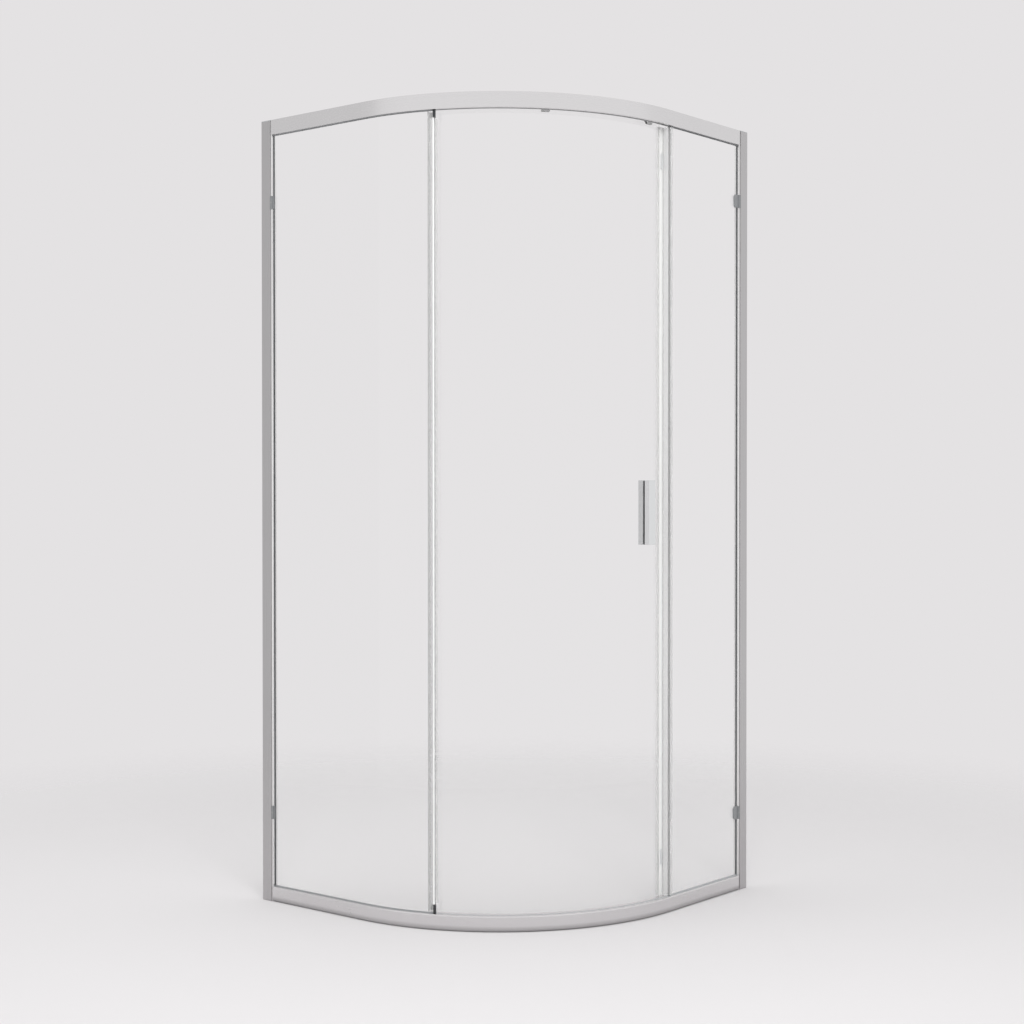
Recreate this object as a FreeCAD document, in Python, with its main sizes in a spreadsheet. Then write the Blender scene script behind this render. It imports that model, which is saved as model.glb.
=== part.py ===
import FreeCAD, Part
import math
import os
import re
import Sketcher

# Quadrant shower enclosure: two straight runs, each fastened to a wall, joined by a quarter-circle front
# with one curved sliding door.
#
# Frame: +Z up, origin on the floor in the middle of the square that the enclosure fills. The left wall is the
# plane x = -side / 2 and the right wall the plane y = side / 2, so the curved front bulges to +X and -Y.
#
# Each sub-part is drawn about the vertical axis of the front's arc and then placed. Three measures locate it:
#   inset   distance in from the rails' outer face, towards the shower
#   angle   degrees along the arc, 0 where the left run ends and 90 where the right run starts
#   reach   distance from the wall along a straight run, or from the arc's end where the text says so

SIZES = [
    ("side", 875, "each wall to the far outer face"),
    ("height", 1950, "floor to the top of the rail"),
    ("outer_radius", 525, "outer face of the curved front"),
    ("metal", 2, "wall of the aluminium extrusions"),
    ("pane", 6, "thickness of the glass"),
    ("gasket", 1.5, "thickness of the glazing gaskets"),
    ("sheath", 1, "wall of the clear seals"),
    ("play", 0.3, "gap between pieces that move past each other"),
    ("slip", 0.2, "gap round a profile that slides in another"),
    ("snug", 0.05, "gap round a piece that is held tight"),
    ("pane_set", 8, "inset of the fixed panes"),
    ("door_set", 31, "inset of the door's glass"),
    ("wall_deep", 30.5, "wall profile, reach of its flanges"),
    ("wall_wide", 22, "wall profile, width on the wall"),
    ("wall_hole_radius", 3, "wall profile, fixing holes"),
    ("wall_hole_end", 120, "outer fixing holes, from the ends"),
    ("wall_hole_gap", 570, "inner fixing holes, hole to hole"),
    ("post_back", 6, "glazing post, reach of its back"),
    ("post_face", 35, "glazing post, reach of its front"),
    ("groove_deep", 14, "glazing post, depth of the groove"),
    ("post_round", 1.5, "glazing post, rounded front corner"),
    ("pane_gap", 3, "pane's edge to the groove's end"),
    ("screw_radius", 2, "frame screws"),
    ("head_gap", 0.55, "rail screws, head to the post's wall"),
    ("screw_end", 150, "post screws, from the ends"),
    ("screw_reach", 15, "post screws, reach"),
    ("cap_radius", 6.5, "caps over the post screws"),
    ("cap_proud", 4, "caps, how far they stand out"),
    ("rail_high", 37, "head rail, height"),
    ("rail_deep", 38, "head rail, width"),
    ("lip_drop", 11, "head rail, depth of the inner lip"),
    ("pocket_deep", 18, "glazing pockets of both rails"),
    ("pocket_gap", 2, "pane's edge to the pocket's end"),
    ("track_rise", 6, "roller track above the rail's foot"),
    ("track_edge", 26, "roller track, inset of its free edge"),
    ("bead_gap", 4.5, "track bead, pocket wall to its middle"),
    ("bead_wide", 2, "track bead, width"),
    ("bead_high", 2, "track bead, height"),
    ("rail_round", 1, "head rail, rounded outer corners"),
    ("sill_high", 37, "bottom rail, height"),
    ("sill_deep", 28, "bottom rail, width of its box"),
    ("sill_round", 3, "bottom rail, rounded outer corner"),
    ("sill_foot_round", 4, "bottom rail, rounded foot"),
    ("channel_wide", 12.4, "guide channel, width"),
    ("channel_lip", 10, "guide channel, height of its lip"),
    ("plug_long", 20, "connector blocks in the rails' ends"),
    ("fixed_edge", 21.9, "angle of the bent pane's free edge"),
    ("door_edge", 19.9, "angle of the door's trailing edge"),
    ("door_close", 90.2, "angle of the door's closing edge"),
    ("door_travel", 48, "angle that the door opens by"),
    ("door_foot", 18, "door glass above the floor"),
    ("door_head_gap", 14, "door glass to the top of the rail"),
    ("seal_grip", 10, "seals, length on the glass"),
    ("seal_end", 1, "seals, gap to the rails"),
    ("holder_wide", 3, "pane holders, along the pane"),
    ("holder_low", 21, "lower pane holder, above the rail"),
    ("holder_high", 18, "upper pane holder, below the rail"),
    ("strike_set", 13.8, "strike profile past the arc's end"),
    ("strike_wall", 1.8, "strike profile, its web"),
    ("strike_box", 6.2, "strike profile, magnet pocket"),
    ("strike_gap", 0.4, "closing seal to the strike profile"),
    ("buffer_high", 36, "closing buffers, height"),
    ("buffer_low", 131.6, "lower closing buffer, above the floor"),
    ("buffer_top", 121, "upper closing buffer, below the top"),
    ("clip_high", 33, "glass clips, height"),
    ("clip_reach_left", 37.5, "left glass clips, reach of the free end"),
    ("clip_reach_right", 53, "right glass clips, reach of the free end"),
    ("clip_over", 0.6, "glass clips, step past the post's edge"),
    ("clip_corner_left", 1, "left glass clips, cut corners"),
    ("clip_corner_right", 5, "right glass clips, cut corners"),
    ("clip_set", 0.4, "glass clips, inset of their outer face"),
    ("clip_low_left", 222, "lower left clip, above the floor"),
    ("clip_top_left", 205, "upper left clip, below the top"),
    ("clip_low_right", 199, "lower right clip, above the floor"),
    ("clip_top_right", 181, "upper right clip, below the top"),
    ("clip_screw_radius", 1, "clip screws"),
    ("roller_left", 51.5, "angle of the left roller"),
    ("roller_right", 85, "angle of the right roller"),
    ("tread", 8, "rollers, radius that runs on the bead"),
    ("flange", 1.7, "rollers, height of the flanges"),
    ("roller_wide", 6, "rollers, width"),
    ("axle_radius", 2.5, "roller axles"),
    ("bore_gap", 0.05, "running gap in the wheels' bores"),
    ("hang_drop", 7.7, "clamp bolt below the roller's axle"),
    ("carrier_wide", 20, "roller carriers, width"),
    ("carrier_tail", 13, "roller carriers below the clamp bolt"),
    ("carrier_head", 5, "roller carriers above the axle"),
    ("carrier_round", 2, "roller carriers, rounded corners"),
    ("bolt_radius", 3, "clamp bolts"),
    ("bolt_hole", 5.2, "clamp bolt holes in the glass"),
    ("knob_radius", 7.5, "clamp caps, radius"),
    ("knob_deep", 5, "clamp caps, thickness"),
    ("stop_turn", 1.4, "track stops, angle that they fill"),
    ("stop_gap", 0.835, "track stops, gap to the rollers' flanges"),
    ("shoe_wide", 30, "guide shoes, along the door"),
    ("shoe_top", 30, "guide shoes, top above the floor"),
    ("shoe_foot", 10.5, "guide shoes, foot above the floor"),
    ("shoe_wall", 1.8, "guide shoes, cheeks"),
    ("guide_high", 6, "guide wheels, height"),
    ("guide_foot", 3, "guide wheels above the floor"),
    ("pin_radius", 1.5, "guide pins"),
    ("handle_angle", 84.8, "angle of the handles"),
    ("handle_mid", 974, "handles, middle above the floor"),
    ("handle_long", 156, "handles, height"),
    ("handle_wide", 22, "handles, width"),
    ("handle_deep", 15.5, "handles, depth of the bar"),
    ("handle_round", 0.8, "handles, rounded edges"),
    ("pad_thick", 0.6, "handle pads"),
    ("pad_inset", 0.4, "handle pads, inside the bar's sides"),
    ("pad_short", 9, "handle pads, inside the bar's ends"),
    ("stud_end", 18, "handle studs, from the bar's ends"),
    ("stud_radius", 2.5, "handle studs"),
    ("stud_bite", 6, "handle studs, length in each bar"),
]

doc = FreeCAD.newDocument("quadrant_enclosure")
sizes = doc.addObject("Spreadsheet::Sheet", "sizes")
for line, (alias, number, meaning) in enumerate(SIZES, start=1):
    sizes.set(f"A{line}", meaning)
    sizes.set(f"B{line}", str(number))
    sizes.setAlias(f"B{line}", alias)
doc.recompute()

ALIASES = {alias for alias, number, meaning in SIZES}

# Places that several sub-parts share, as formulas of the sizes.
STRAIGHT = "(side - outer_radius)"
MIDDLE = "(height / 2)"
RAIL_FOOT = "(height - rail_high)"
POCKET_OUT = "(pane_set - gasket)"
POCKET_IN = "(pane_set + pane + gasket)"
PANE_IN = "(pane_set + pane)"
PANE_FOOT = "(sill_high - pocket_deep + pocket_gap)"
PANE_HEAD = "(height - rail_high + pocket_deep - pocket_gap)"
PANE_REACH = "(post_face - groove_deep + pane_gap)"
PANE_END = "(strike_set + strike_wall + slip)"
DOOR_IN = "(door_set + pane)"
DOOR_HEAD = "(height - door_head_gap)"
SEAL_FOOT = "(sill_high + seal_end)"
SEAL_HEAD = "(height - rail_high - seal_end)"
TRACK_TOP = "(height - rail_high + track_rise + metal)"
BEAD_SET = f"({POCKET_IN} + metal + bead_gap)"
AXLE_RISE = "(height - rail_high + track_rise + metal + bead_high + tread + play)"
BOLT_RISE = f"({AXLE_RISE} - hang_drop)"
CHANNEL_SET = "(sill_deep + channel_wide / 2)"
CHANNEL_EDGE = "(sill_deep + channel_wide)"


def formula(text):
    """Gives each size in a formula the sheet's name."""
    return re.sub(r"[a-z_]+", lambda word: f"sizes.{word[0]}" if word[0] in ALIASES else word[0], text)


def bind(item, name, text):
    item.setExpression(name, formula(text))


def radial(inset):
    """Distance from the arc's axis of a place with this inset."""
    return f"(outer_radius - ({inset}))"


def front(inset):
    """Place on the Y axis, on the -Y side of the arc's axis, with this inset."""
    return f"-{radial(inset)}"


def arc_angle(length, inset):
    """Degrees that a length along the arc takes at this inset."""
    return f"({length} / {radial(inset)} * 180 / pi)"


def place(item, at=("0", "0", "0"), turn="0", home=True):
    """Shifts a piece by at, turns it about the arc's axis, and moves that axis to its own place."""
    across, out, rise = at
    home_x, home_y = ("side / 2 - outer_radius", "outer_radius - side / 2") if home else ("0", "0")
    x = f"{home_x} + {across} * cos({turn}) - {out} * sin({turn})"
    y = f"{home_y} + {across} * sin({turn}) + {out} * cos({turn})"
    bind(item, "Placement", f"placement(vector({x}; {y}; {rise}); rotation(vector(0; 0; 1); {turn}))")
    return item


def new_body(name):
    return doc.addObject("PartDesign::Body", name)


def add_sketch(body, role, loops, lift="0", swing="0"):
    """Closed outlines on one of the body's planes, each corner held by two formulas.

    The plane is lifted along its normal, and swung about its own upright axis.
    """
    sketch = body.newObject("Sketcher::SketchObject", body.Name + "_outline")
    base = next(feature for feature in body.Origin.OriginFeatures if feature.Role == role)
    sketch.AttachmentSupport = (base, [""])
    sketch.MapMode = "FlatFace"
    bind(sketch, "AttachmentOffset", f"placement(vector(0; 0; {lift}); rotation(vector(0; 1; 0); {swing}))")
    for corners in loops:
        first = sketch.GeometryCount
        count = len(corners)
        # Rough start places: the constraints below settle every corner.
        spots = [FreeCAD.Vector(spot, spot * spot, 0) for spot in range(count)]
        for side in range(count):
            sketch.addGeometry(Part.LineSegment(spots[side], spots[(side + 1) % count]), False)
        for side in range(count):
            following = first + (side + 1) % count
            sketch.addConstraint(Sketcher.Constraint("Coincident", first + side, 2, following, 1))
        for corner, place_of_corner in enumerate(corners):
            for kind, text in zip(("DistanceX", "DistanceY"), place_of_corner):
                held = Sketcher.Constraint(kind, -1, 1, first + corner, 1, 1.0)
                bind(sketch, f"Constraints[{sketch.addConstraint(held)}]", text)
    return sketch


def add_pad(body, sketch, length, reverse=False):
    pad = body.newObject("PartDesign::Pad", body.Name + "_pad")
    pad.Profile = sketch
    pad.Reversed = reverse
    bind(pad, "Length", length)
    return pad


def add_turn(body, sketch, axis, angle="360"):
    turn = body.newObject("PartDesign::Revolution", body.Name + "_turn")
    turn.Profile = sketch
    turn.ReferenceAxis = (sketch, [axis])
    bind(turn, "Angle", angle)
    return turn


def soften(body, kind, size_name, size, wanted):
    """Rounds or chamfers those edges of the body that the test picks."""
    doc.recompute()
    before = body.Tip
    names = [f"Edge{count}" for count, edge in enumerate(before.Shape.Edges, start=1) if wanted(edge)]
    if not names:
        raise RuntimeError(f"{body.Name}: no edge to soften")
    feature = body.newObject(f"PartDesign::{kind}", f"{body.Name}_{kind.lower()}")
    feature.Base = (before, names)
    bind(feature, size_name, size)
    return body


def run(name, loops, left=None, sweep=None, right=None):
    """A piece of constant section, given as inset and height, that follows the rails.

    left and right give its start and end on the straight runs, counted from the arc. sweep gives its angles.
    """
    body = new_body(name)
    section = [[(front(inset), rise) for inset, rise in corners] for corners in loops]
    if left:
        sketch = add_sketch(body, "YZ_Plane", section, f"-({left[0]})")
        add_pad(body, sketch, f"{left[1]} - ({left[0]})", reverse=True)
    if sweep:
        sketch = add_sketch(body, "YZ_Plane", section, swing=sweep[0])
        add_turn(body, sketch, "V_Axis", f"{sweep[1]} - ({sweep[0]})")
    if right:
        section = [[(radial(inset), rise) for inset, rise in corners] for corners in loops]
        sketch = add_sketch(body, "XZ_Plane", section, f"-({right[0]})")
        add_pad(body, sketch, f"{right[1]} - ({right[0]})", reverse=True)
    return body


def band(name, inset, rise, sweep):
    """An arc-shaped bar of rectangular section."""
    corners = [(inset[0], rise[0]), (inset[1], rise[0]), (inset[1], rise[1]), (inset[0], rise[1])]
    return run(name, [corners], sweep=sweep)


def end_place(hand, reach, inset):
    """Plan position at a wall end, from the reach off the wall and the inset."""
    along = f"({STRAIGHT} - ({reach}))"
    return (f"-{along}", front(inset)) if hand == "left" else (radial(inset), along)


def upright(name, hand, loops, low, high):
    """A vertical extrusion at a wall end, its section given as reach and inset."""
    body = new_body(name)
    section = [[end_place(hand, reach, inset) for reach, inset in corners] for corners in loops]
    add_pad(body, add_sketch(body, "XY_Plane", section, low), f"{high} - ({low})")
    return body


def turned(name, axis, corners):
    """A turned piece. corners are pairs of a radius and a place along the axis."""
    body = new_body(name)
    if axis == "x":
        sketch = add_sketch(body, "XY_Plane", [[(along, radius) for radius, along in corners]])
        add_turn(body, sketch, "H_Axis")
    else:
        sketch = add_sketch(body, "XY_Plane" if axis == "y" else "XZ_Plane", [corners])
        add_turn(body, sketch, "V_Axis")
    return body


def bore(axis, radius, start, end, at=("0", "0"), turn="0"):
    """A cylinder to cut with, from start to end along an axis, at the other two coordinates."""
    tool = doc.addObject("Part::Cylinder", "bore")
    bind(tool, "Radius", radius)
    bind(tool, "Height", f"{end} - ({start})")
    lie, spot = {
        "x": ("rotation(vector(0; 1; 0); 90)", (start, at[0], at[1])),
        "y": ("rotation(vector(1; 0; 0); 90)", (at[0], end, at[1])),
        "z": ("rotation(vector(0; 0; 1); 0)", (at[0], at[1], start)),
    }[axis]
    x = f"({spot[0]}) * cos({turn}) - ({spot[1]}) * sin({turn})"
    y = f"({spot[0]}) * sin({turn}) + ({spot[1]}) * cos({turn})"
    swing = f"rotation(vector(0; 0; 1); {turn}) * {lie}"
    bind(tool, "Placement", f"placement(vector({x}; {y}; {spot[2]}); {swing})")
    return tool


def combine(kind, name, members):
    item = doc.addObject(f"Part::{kind}", name)
    if kind == "Compound":
        item.Links = members
    else:
        item.Shapes = members
        item.Refine = True
    return item


def cut(name, base, tools):
    item = doc.addObject("Part::Cut", name)
    item.Base = base
    item.Tool = tools[0] if len(tools) == 1 else combine("Compound", name + "_tools", tools)
    item.Refine = True
    return item


pieces = []


def keep(label, item, at=("0", "0", "0"), turn="0"):
    """Makes an object a sub-part: it gets the label that names its file, and its place in the enclosure."""
    item.Label = label
    pieces.append(place(item, at, turn))
    return item


def outward_reach(point):
    """Distance of a point from the arc's axis or, beside a straight run, from the line that continues it."""
    if point.x < 0:
        return -point.y
    if point.y > 0:
        return point.x
    return math.hypot(point.x, point.y)


def on_outer_corner(edge, heights):
    """True for an edge that follows the rail's outer face at one of these heights."""
    middle = edge.valueAt((edge.FirstParameter + edge.LastParameter) / 2)
    ends = [vertex.Point.z for vertex in edge.Vertexes]
    level = max(ends) - min(ends) < 0.01
    return level and min(abs(middle.z - rise) for rise in heights) < 0.01 and edge.Length > 50 and (
        abs(outward_reach(middle) - sizes.outer_radius) < 0.01
    )


# Wall profiles: U-shaped extrusions with four fixing holes in the web and three screw holes in the inner
# flange.
WALL_TOP = "(height - metal)"
POST_OUT = "(metal + slip)"
POST_IN = "(wall_wide - metal - slip)"
POST_SCREW_RISES = ["screw_end", MIDDLE, "height - screw_end"]
WALL_HOLE_RISES = [
    "wall_hole_end",
    f"{MIDDLE} - wall_hole_gap / 2",
    f"{MIDDLE} + wall_hole_gap / 2",
    "height - wall_hole_end",
]
SCREW_HOLE = "screw_radius + 0.1"


def end_bore(hand, along_reach, radius, start, end, cross, rise):
    """A bore at a wall end that runs along the reach, or else along the inset."""
    if along_reach:
        first, second = end_place(hand, start, cross), end_place(hand, end, cross)
    else:
        first, second = end_place(hand, cross, start), end_place(hand, cross, end)
    axis = "x" if along_reach == (hand == "left") else "y"
    line = 0 if axis == "x" else 1
    # Reach and inset grow with x and y at the left end, and against them at the right end.
    low, high = (first, second) if hand == "left" else (second, first)
    return bore(axis, radius, low[line], high[line], at=(first[1 - line], rise))


for hand in ("left", "right"):
    section = [
        ("0", "0"), ("wall_deep", "0"), ("wall_deep", "metal"), ("metal", "metal"),
        ("metal", "wall_wide - metal"), ("wall_deep", "wall_wide - metal"), ("wall_deep", "wall_wide"),
        ("0", "wall_wide"),
    ]
    blank = upright(f"wall_blank_{hand}", hand, [section], "0", WALL_TOP)
    holes = [
        end_bore(hand, True, "wall_hole_radius", "-metal", "2 * metal", "wall_wide / 2", rise)
        for rise in WALL_HOLE_RISES
    ]
    holes += [
        end_bore(hand, False, SCREW_HOLE, "wall_wide - 2 * metal", "wall_wide + metal", "screw_reach", rise)
        for rise in POST_SCREW_RISES
    ]
    keep(f"wall_profile_{hand}", cut(f"wall_profile_{hand}", blank, holes))

# Glazing posts: box extrusions that slide in the wall profiles, with a groove for the pane's edge in front.
GROOVE_END = "(post_face - groove_deep)"
RAIL_SCREW_RISE = f"({RAIL_FOOT} + pocket_deep + height) / 2"
HEAD_RADIUS = "(screw_radius * 2)"
RAIL_SCREW_SET = f"(2 * metal + slip + {HEAD_RADIUS} + head_gap)"
SILL_SCREW_RISE = "(sill_high - pocket_deep) / 2"
SILL_SCREW_SET = RAIL_SCREW_SET
RAIL_SCREWS = [(RAIL_SCREW_SET, RAIL_SCREW_RISE), (SILL_SCREW_SET, SILL_SCREW_RISE)]
CLIP_RISES = {
    "left": ["clip_low_left", "height - clip_top_left"],
    "right": ["clip_low_right", "height - clip_top_right"],
}
CLIP_SCREW_REACH = "(wall_deep + play + post_face + clip_over) / 2"

for hand in ("left", "right"):
    section = [
        ("post_back", POST_OUT), ("post_face", POST_OUT), ("post_face", POCKET_OUT), (GROOVE_END, POCKET_OUT),
        (GROOVE_END, POCKET_IN), ("post_face", POCKET_IN), ("post_face", POST_IN), ("post_back", POST_IN),
    ]
    chamber = [
        ("post_back + metal", f"{POST_OUT} + metal"), (f"{GROOVE_END} - metal", f"{POST_OUT} + metal"),
        (f"{GROOVE_END} - metal", f"{POST_IN} - metal"), ("post_back + metal", f"{POST_IN} - metal"),
    ]
    blank = upright(f"post_blank_{hand}", hand, [section, chamber], "0", WALL_TOP)
    corner = FreeCAD.Vector(sizes.post_face - (sizes.side - sizes.outer_radius), 0, 0)
    corner.y = sizes.metal + sizes.slip - sizes.outer_radius
    if hand == "right":
        corner = FreeCAD.Vector(-corner.y, -corner.x, 0)
    soften(
        blank, "Fillet", "Radius", "post_round",
        lambda edge: edge.Length > 1000 and math.dist(edge.CenterOfMass[:2], corner[:2]) < 0.01,
    )
    holes = [
        end_bore(hand, True, SCREW_HOLE, f"{GROOVE_END} - 2 * metal", f"{GROOVE_END} + metal", inset, rise)
        for inset, rise in RAIL_SCREWS
    ]
    holes += [
        end_bore(hand, False, SCREW_HOLE, f"{POST_IN} - 2 * metal", f"{POST_IN} + metal", "screw_reach", rise)
        for rise in POST_SCREW_RISES
    ]
    holes += [
        end_bore(hand, False, "clip_screw_radius + 0.1", "0", f"{POCKET_OUT} + 0.5", CLIP_SCREW_REACH, rise)
        for rise in CLIP_RISES[hand]
    ]
    keep(f"post_{hand}", cut(f"post_{hand}", blank, holes))

    cheeks = [
        (f"{GROOVE_END} + snug", f"{POCKET_OUT} + snug"), ("post_face", f"{POCKET_OUT} + snug"),
        ("post_face", "pane_set - snug"), (f"{PANE_REACH} - snug", "pane_set - snug"),
        (f"{PANE_REACH} - snug", f"{PANE_IN} + snug"), ("post_face", f"{PANE_IN} + snug"),
        ("post_face", f"{POCKET_IN} - snug"), (f"{GROOVE_END} + snug", f"{POCKET_IN} - snug"),
    ]
    keep(f"post_gasket_{hand}", upright(f"post_gasket_{hand}", hand, [cheeks], "sill_high", RAIL_FOOT))

# Post screws, with a flat head against the wall profile's inner flange, and the push-on caps over the heads.
caps = []
for hand in ("left", "right"):
    axis = "y" if hand == "left" else "x"
    # From the flange towards the shower the inset grows: that is +Y at the left end and -X at the right end.
    along = {"left": front, "right": radial}[hand]
    screws = []
    for rise in POST_SCREW_RISES:
        tip, seat, face = along("wall_wide - 3 * metal"), along("wall_wide + snug"), along("wall_wide + metal")
        shank = [
            ("0", tip), ("screw_radius", tip), ("screw_radius", seat), (HEAD_RADIUS, seat), (HEAD_RADIUS, face),
            ("0", face),
        ]
        hollow, top = along("wall_wide + metal + play"), along("wall_wide + cap_proud")
        dome = [
            (f"{HEAD_RADIUS} + play", seat), ("cap_radius", seat),
            ("cap_radius", along("wall_wide + cap_proud - 1")), ("cap_radius - 1", top),
            ("0", top), ("0", hollow), (f"{HEAD_RADIUS} + play", hollow),
        ]
        spot = end_place(hand, "screw_reach", "0")
        at = (spot[0], "0", rise) if hand == "left" else ("0", spot[1], rise)
        screws.append(place(turned(f"post_screw_{hand}", axis, shank), at, home=False))
        caps.append(place(turned(f"post_screw_cap_{hand}", axis, dome), at, home=False))
    keep(f"post_screws_{hand}", combine("Compound", f"post_screws_{hand}", screws))
keep("post_screw_caps", combine("Compound", "post_screw_caps", caps))

# Top caps: moulded plates that cover the wall profile and post, with a plug down into the post's chamber.
for hand in ("left", "right"):
    plate = [("0", "0"), ("post_face", "0"), ("post_face", "wall_wide"), ("0", "wall_wide")]
    near, far = "post_back + metal + slip", f"{GROOVE_END} - 2 * metal - play"
    plug = [
        (near, f"{POST_OUT} + metal + slip"), (far, f"{POST_OUT} + metal + slip"),
        (far, f"{POST_IN} - metal - slip"), (near, f"{POST_IN} - metal - slip"),
    ]
    cap = upright(f"top_cap_{hand}", hand, [plate], WALL_TOP, "height")
    section = [[end_place(hand, reach, inset) for reach, inset in plug]]
    add_pad(cap, add_sketch(cap, "XY_Plane", section, f"{WALL_TOP} - 4 * metal"), "4 * metal")
    keep(f"top_cap_{hand}", cap)

# Head rail: outer face and closed box, a glazing pocket below it, then the roller track with its bead and an
# inner lip that hides the rollers. It is open below between the track and the lip, where the door hangs.
RUN_END = f"{STRAIGHT} - post_face - snug"
POCKET_HEAD = f"({RAIL_FOOT} + pocket_deep)"
RAIL_ROOF = "(height - metal)"
RAIL_INNER = "(rail_deep - metal)"
outer = [
    ("0", RAIL_FOOT), (POCKET_OUT, RAIL_FOOT), (POCKET_OUT, POCKET_HEAD), (POCKET_IN, POCKET_HEAD),
    (POCKET_IN, RAIL_FOOT), (f"({POCKET_IN} + metal)", RAIL_FOOT),
    (f"({POCKET_IN} + metal)", f"{RAIL_FOOT} + track_rise"), ("track_edge", f"{RAIL_FOOT} + track_rise"),
    ("track_edge", TRACK_TOP), (f"({BEAD_SET} + bead_wide / 2)", TRACK_TOP),
    (f"({BEAD_SET} + bead_wide / 2)", f"{TRACK_TOP} + bead_high"),
    (f"({BEAD_SET} - bead_wide / 2)", f"{TRACK_TOP} + bead_high"), (f"({BEAD_SET} - bead_wide / 2)", TRACK_TOP),
    (f"({POCKET_IN} + metal)", TRACK_TOP), (f"({POCKET_IN} + metal)", RAIL_ROOF), (RAIL_INNER, RAIL_ROOF),
    (RAIL_INNER, "height - lip_drop"), ("rail_deep", "height - lip_drop"), ("rail_deep", "height"),
    ("0", "height"),
]
box = [
    ("metal", f"{RAIL_FOOT} + metal"), (f"({POCKET_OUT} - metal)", f"{RAIL_FOOT} + metal"),
    (f"({POCKET_OUT} - metal)", f"{POCKET_HEAD} + metal"), (POCKET_IN, f"{POCKET_HEAD} + metal"),
    (POCKET_IN, RAIL_ROOF), ("metal", RAIL_ROOF),
]
rail = run("upper_rail", [outer, box], left=("0", RUN_END), sweep=("0", "90"), right=("0", RUN_END))
soften(
    rail, "Fillet", "Radius", "rail_round",
    lambda edge: on_outer_corner(edge, (sizes.height, sizes.height - sizes.rail_high)),
)
keep("upper_rail", rail)

# Bottom rail: a closed box with a rounded outer corner and a glazing pocket in its top, and on the shower
# side a low channel for the door's guide wheels.
SILL_POCKET = "(sill_high - pocket_deep)"
outer = [
    ("0", "0"), (f"({CHANNEL_EDGE} + metal)", "0"), (f"({CHANNEL_EDGE} + metal)", "channel_lip"),
    (CHANNEL_EDGE, "channel_lip"), (CHANNEL_EDGE, "metal"), ("sill_deep", "metal"),
    ("sill_deep", "sill_high"),
    (POCKET_IN, "sill_high"), (POCKET_IN, SILL_POCKET), (POCKET_OUT, SILL_POCKET), (POCKET_OUT, "sill_high"),
    ("0", "sill_high"),
]
box = [
    ("metal", "metal"), ("(sill_deep - metal)", "metal"), ("(sill_deep - metal)", "sill_high - metal"),
    (f"({POCKET_IN} + metal)", "sill_high - metal"), (f"({POCKET_IN} + metal)", f"{SILL_POCKET} - metal"),
    (f"({POCKET_OUT} - metal)", f"{SILL_POCKET} - metal"), (f"({POCKET_OUT} - metal)", "sill_high - metal"),
    ("metal", "sill_high - metal"),
]
rail = run("lower_rail", [outer, box], left=("0", RUN_END), sweep=("0", "90"), right=("0", RUN_END))
soften(rail, "Fillet", "Radius", "sill_round", lambda edge: on_outer_corner(edge, (sizes.sill_high,)))
soften(rail, "Fillet", "Radius", "sill_foot_round", lambda edge: on_outer_corner(edge, (0,)))
keep("lower_rail", rail)

# Connector blocks in the rails' ends, and the screws that hold them to the posts from inside their chambers.
CONNECTORS = {
    "upper": ("metal", POCKET_IN, f"{POCKET_HEAD} + metal", RAIL_ROOF, RAIL_SCREWS[0]),
    "lower": ("metal", "(sill_deep - metal)", "metal", f"{SILL_POCKET} - metal", RAIL_SCREWS[1]),
}
screws = []
for level, (near, far, low, high, (inset, rise)) in CONNECTORS.items():
    for hand in ("left", "right"):
        ends = ("post_face + snug", "post_face + plug_long")
        section = [
            (ends[0], f"{near} + play"), (ends[1], f"{near} + play"), (ends[1], f"{far} - play"),
            (ends[0], f"{far} - play"),
        ]
        name = f"rail_connector_{level}_{hand}"
        block = upright(f"{name}_blank", hand, [section], f"{low} + play", f"{high} - play")
        hole = end_bore(hand, True, "screw_radius + snug", "post_face", ends[1], inset, rise)
        keep(name, cut(name, block, [hole]))

        sign = "-" if hand == "left" else ""
        head, seat, tip = (
            f"{sign}({STRAIGHT} - ({reach}))"
            for reach in (
                f"{GROOVE_END} - 2 * metal",
                f"{GROOVE_END} - metal - snug",
                "post_face + plug_long - metal",
            )
        )
        shank = [
            ("0", head), (HEAD_RADIUS, head), (HEAD_RADIUS, seat), ("screw_radius", seat),
            ("screw_radius", tip), ("0", tip),
        ]
        spot = end_place(hand, "0", inset)
        at = ("0", spot[1], rise) if hand == "left" else (spot[0], "0", rise)
        screw = turned(f"rail_screw_{level}", "x" if hand == "left" else "y", shank)
        screws.append(place(screw, at, home=False))
keep("rail_screws", combine("Compound", "rail_screws", screws))

# Fixed panes: the left one runs flat from its post and then bends with the rails, the right one is flat.
pane_section = [("pane_set", PANE_FOOT), (PANE_IN, PANE_FOOT), (PANE_IN, PANE_HEAD), ("pane_set", PANE_HEAD)]
pane_run = f"{STRAIGHT} - {PANE_REACH}"
bent_pane = run("fixed_glass_left", [pane_section], left=("0", pane_run), sweep=("0", "fixed_edge"))
keep("fixed_glass_left", bent_pane)
keep("fixed_glass_right", run("fixed_glass_right", [pane_section], right=(PANE_END, pane_run)))

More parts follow.
